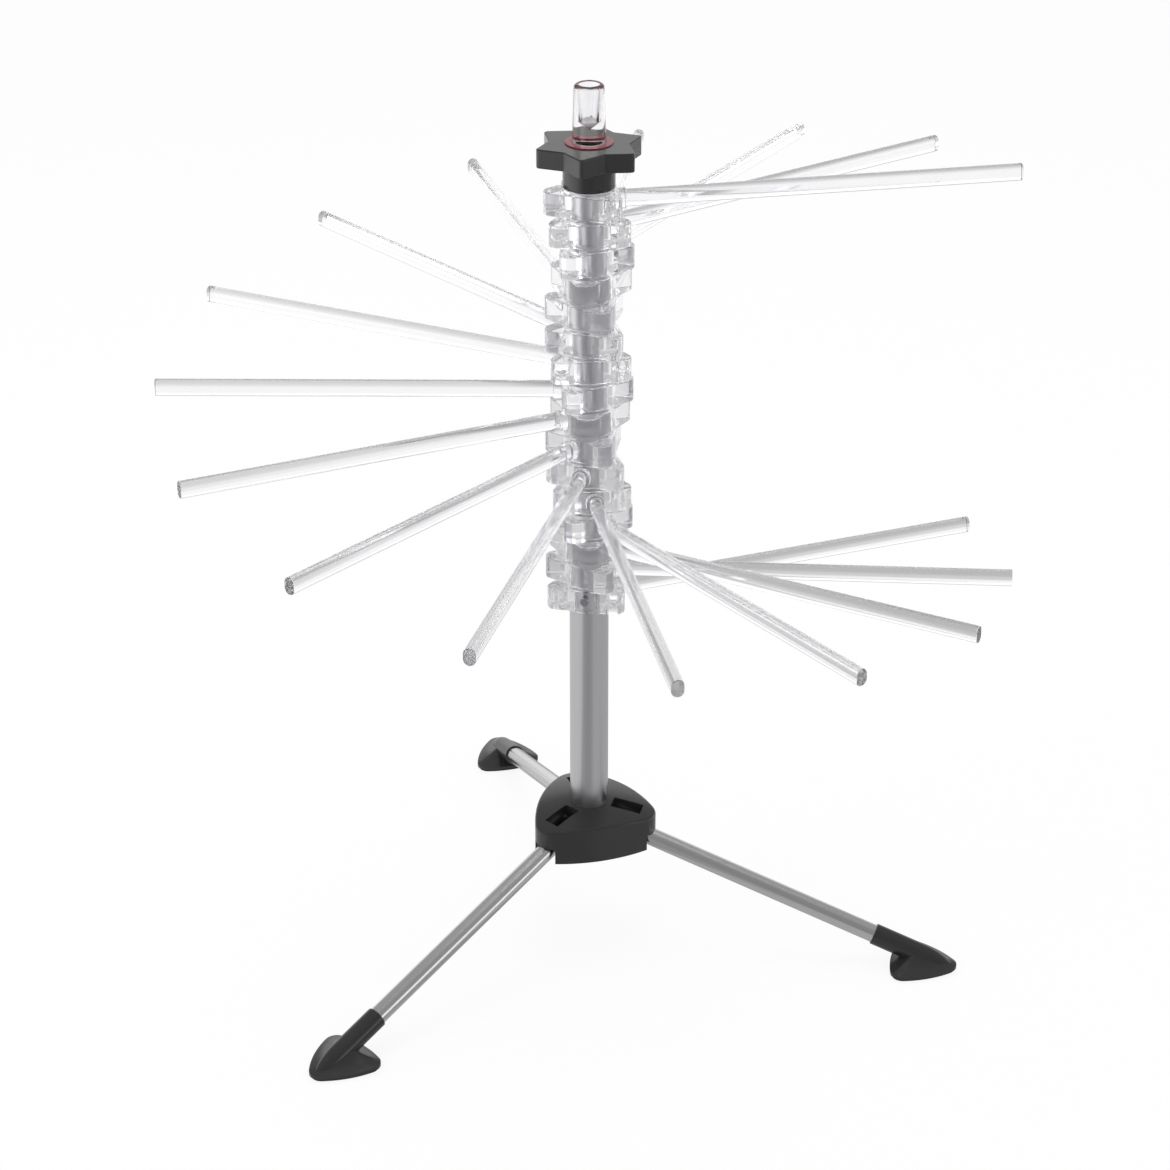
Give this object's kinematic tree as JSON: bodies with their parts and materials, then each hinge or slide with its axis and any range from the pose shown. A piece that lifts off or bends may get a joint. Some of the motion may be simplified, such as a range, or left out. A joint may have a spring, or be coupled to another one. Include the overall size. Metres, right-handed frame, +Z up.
{
  "type": "pasta drying rack",
  "caption": "Free-standing tripod rack: clear arms on stacked collars fan out round a metal column, are locked by a star knob and fold into a comb; legs fold down.",
  "frame": {"origin": "on the floor under the column axis", "axes": "+Z up along the column; the picture looks along +Y and down, with +X to the right"},
  "size_m": [0.4693, 0.4652, 0.5156],
  "materials": {
    "clear_plastic": "clear polished moulding",
    "red_plastic": "translucent red, glossy",
    "black_plastic": "moulded black, semi-gloss",
    "inner_plastic": "moulded black, matt",
    "column_aluminium": "satin anodised",
    "leg_chrome": "polished plating",
    "fastener_steel": "plain bright",
    "sole_rubber": "matt, non-slip"
  },
  "bodies": {
    "stand": {"base_hub": "black_plastic", "column_tube": "column_aluminium", "column_plug": "inner_plastic", "base_screw": "fastener_steel", "top_bush": "inner_plastic", "collar_16": "clear_plastic", "arm_16": "clear_plastic", "collar_screw": "fastener_steel", "leg_pin_rear": "fastener_steel", "leg_pin_left": "fastener_steel", "leg_pin_right": "fastener_steel"},
    "tier_15": {"collar_15": "clear_plastic", "arm_15": "clear_plastic"},
    "tier_14": {"collar_14": "clear_plastic", "arm_14": "clear_plastic"},
    "tier_13": {"collar_13": "clear_plastic", "arm_13": "clear_plastic"},
    "tier_12": {"collar_12": "clear_plastic", "arm_12": "clear_plastic"},
    "tier_11": {"collar_11": "clear_plastic", "arm_11": "clear_plastic"},
    "tier_10": {"collar_10": "clear_plastic", "arm_10": "clear_plastic"},
    "tier_09": {"collar_09": "clear_plastic", "arm_09": "clear_plastic"},
    "tier_08": {"collar_08": "clear_plastic", "arm_08": "clear_plastic"},
    "tier_07": {"collar_07": "clear_plastic", "arm_07": "clear_plastic"},
    "tier_06": {"collar_06": "clear_plastic", "arm_06": "clear_plastic"},
    "tier_05": {"collar_05": "clear_plastic", "arm_05": "clear_plastic"},
    "tier_04": {"collar_04": "clear_plastic", "arm_04": "clear_plastic"},
    "tier_03": {"collar_03": "clear_plastic", "arm_03": "clear_plastic"},
    "tier_02": {"collar_02": "clear_plastic", "arm_02": "clear_plastic"},
    "tier_01": {"collar_01": "clear_plastic", "arm_01": "clear_plastic"},
    "knob_seat": {"knob_ring": "red_plastic"},
    "knob": {"clamp_knob": "black_plastic"},
    "wand": {"pasta_wand": "clear_plastic"},
    "leg_rear": {"leg_rod_rear": "leg_chrome", "foot_rear": "black_plastic", "sole_rear": "sole_rubber"},
    "leg_left": {"leg_rod_left": "leg_chrome", "foot_left": "black_plastic", "sole_left": "sole_rubber"},
    "leg_right": {"leg_rod_right": "leg_chrome", "foot_right": "black_plastic", "sole_right": "sole_rubber"}
  },
  "joints": [
    {"name": "tier_15_swing", "type": "hinge", "parent": "stand", "child": "tier_15", "pos_m": [0, 0, 0], "axis": [0, 0, 1], "range_deg": [0, 24.73]},
    {"name": "tier_14_swing", "type": "hinge", "parent": "tier_15", "child": "tier_14", "pos_m": [0, 0, 0], "axis": [0, 0, 1], "range_deg": [0, 24.73]},
    {"name": "tier_13_swing", "type": "hinge", "parent": "tier_14", "child": "tier_13", "pos_m": [0, 0, 0], "axis": [0, 0, 1], "range_deg": [0, 24.73]},
    {"name": "tier_12_swing", "type": "hinge", "parent": "tier_13", "child": "tier_12", "pos_m": [0, 0, 0], "axis": [0, 0, 1], "range_deg": [0, 24.73]},
    {"name": "tier_11_swing", "type": "hinge", "parent": "tier_12", "child": "tier_11", "pos_m": [0, 0, 0], "axis": [0, 0, 1], "range_deg": [0, 24.73]},
    {"name": "tier_10_swing", "type": "hinge", "parent": "tier_11", "child": "tier_10", "pos_m": [0, 0, 0], "axis": [0, 0, 1], "range_deg": [0, 24.73]},
    {"name": "tier_09_swing", "type": "hinge", "parent": "tier_10", "child": "tier_09", "pos_m": [0, 0, 0], "axis": [0, 0, 1], "range_deg": [0, 24.73]},
    {"name": "tier_08_swing", "type": "hinge", "parent": "tier_09", "child": "tier_08", "pos_m": [0, 0, 0], "axis": [0, 0, 1], "range_deg": [0, 24.73]},
    {"name": "tier_07_swing", "type": "hinge", "parent": "tier_08", "child": "tier_07", "pos_m": [0, 0, 0], "axis": [0, 0, 1], "range_deg": [0, 24.73]},
    {"name": "tier_06_swing", "type": "hinge", "parent": "tier_07", "child": "tier_06", "pos_m": [0, 0, 0], "axis": [0, 0, 1], "range_deg": [0, 24.73]},
    {"name": "tier_05_swing", "type": "hinge", "parent": "tier_06", "child": "tier_05", "pos_m": [0, 0, 0], "axis": [0, 0, 1], "range_deg": [0, 24.73]},
    {"name": "tier_04_swing", "type": "hinge", "parent": "tier_05", "child": "tier_04", "pos_m": [0, 0, 0], "axis": [0, 0, 1], "range_deg": [0, 24.73]},
    {"name": "tier_03_swing", "type": "hinge", "parent": "tier_04", "child": "tier_03", "pos_m": [0, 0, 0], "axis": [0, 0, 1], "range_deg": [0, 24.73]},
    {"name": "tier_02_swing", "type": "hinge", "parent": "tier_03", "child": "tier_02", "pos_m": [0, 0, 0], "axis": [0, 0, 1], "range_deg": [0, 24.73]},
    {"name": "tier_01_swing", "type": "hinge", "parent": "tier_02", "child": "tier_01", "pos_m": [0, 0, 0], "axis": [0, 0, 1], "range_deg": [0, 24.73]},
    {"name": "knob_rise", "type": "slide", "parent": "stand", "child": "knob_seat", "axis": [0, 0, 1], "range_m": [0, 0.002]},
    {"name": "knob_turn", "type": "hinge", "parent": "knob_seat", "child": "knob", "pos_m": [0, 0, 0], "axis": [0, 0, 1], "range_deg": [0, 360]},
    {"name": "wand_draw", "type": "slide", "parent": "knob_seat", "child": "wand", "axis": [0, 0, 1], "range_m": [0, 0.365]},
    {"name": "leg_rear_fold", "type": "hinge", "parent": "stand", "child": "leg_rear", "pos_m": [-0.0067, 0.02305, 0.0688], "axis": [-0.9603, -0.279, 0], "range_deg": [0, 70.7]},
    {"name": "leg_left_fold", "type": "hinge", "parent": "stand", "child": "leg_left", "pos_m": [-0.01661, -0.01732, 0.0688], "axis": [0.7218, -0.6921, 0], "range_deg": [0, 70.7]},
    {"name": "leg_right_fold", "type": "hinge", "parent": "stand", "child": "leg_right", "pos_m": [0.02331, -0.00573, 0.0688], "axis": [0.2385, 0.9711, 0], "range_deg": [0, 70.7]}
  ],
  "couplings": [
    {"joint": "knob_rise", "follows": "knob_turn", "m_per_rad": 0.00031831}
  ]
}
